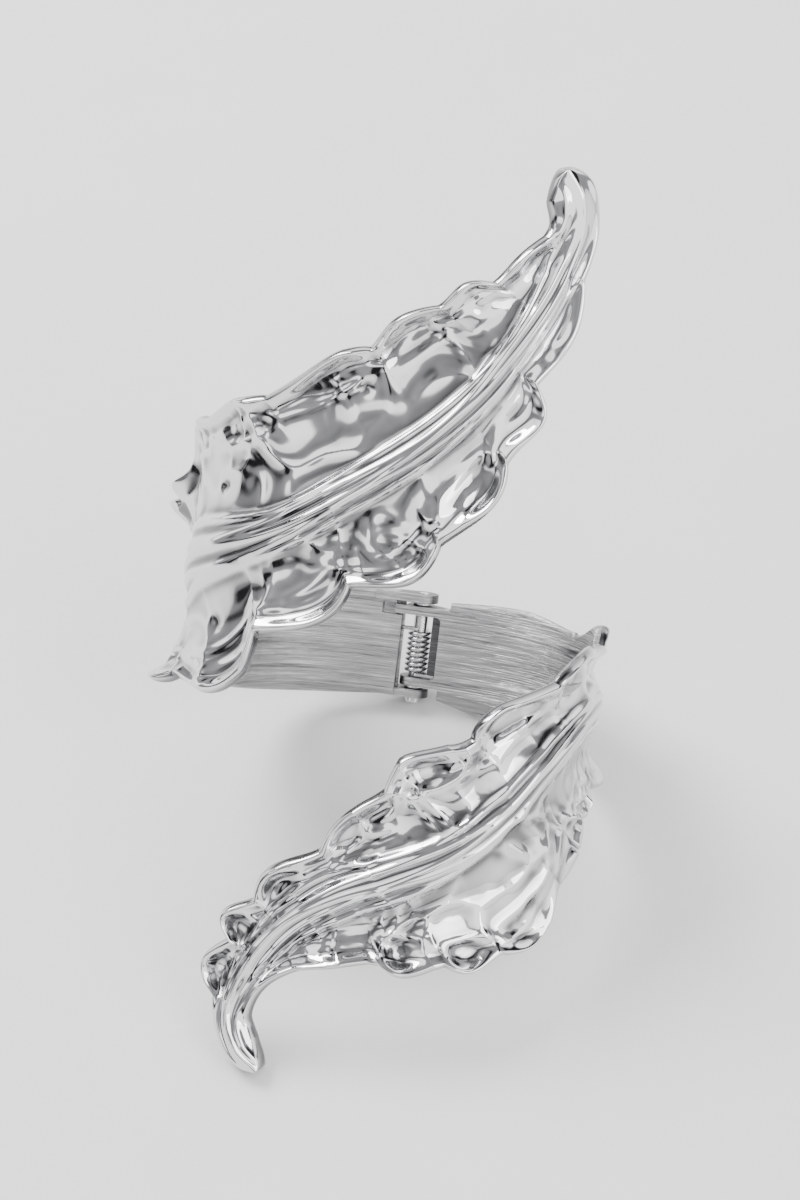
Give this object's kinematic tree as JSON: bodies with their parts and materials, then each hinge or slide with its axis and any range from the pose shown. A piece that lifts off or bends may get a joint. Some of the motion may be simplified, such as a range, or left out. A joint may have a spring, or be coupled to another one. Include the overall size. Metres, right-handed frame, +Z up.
{
  "type": "hinged leaf cuff bangle",
  "caption": "Hinged arm cuff of polished metal, whose curved leaves with hammered faces and raised midribs bypass each other across the front and are sprung shut at the back.",
  "frame": {"origin": "centre of the bounding box's base, on the table the cuff lies on", "axes": "+Z up from the table; +Y from the front of the cuff towards its hinge; +X to the wearer-side right as seen from the front"},
  "size_m": [0.07, 0.0964, 0.0987],
  "materials": {
    "polished_plate": "polished, hammered relief",
    "brushed_plate": "brushed along the band",
    "pin_steel": "bright",
    "spring_wire": "bright drawn wire"
  },
  "bodies": {
    "right_half": {"lower_leaf": "polished_plate", "right_band": "brushed_plate", "spring_sleeve": "pin_steel", "torsion_spring": "spring_wire", "upper_washer": "pin_steel", "lower_washer": "pin_steel"},
    "left_half": {"upper_leaf": "polished_plate", "left_band": "brushed_plate", "hinge_pin": "pin_steel"}
  },
  "joints": [
    {"name": "cuff_hinge", "type": "hinge", "parent": "right_half", "child": "left_half", "pos_m": [0.0017, 0.03027, 0.00783], "axis": [-0.0488, -0.6748, -0.7364], "range_deg": [0, 60], "stiffness_Nm_per_rad": 0.0146, "springref_deg": -89.95, "deforming": ["torsion_spring"]}
  ]
}
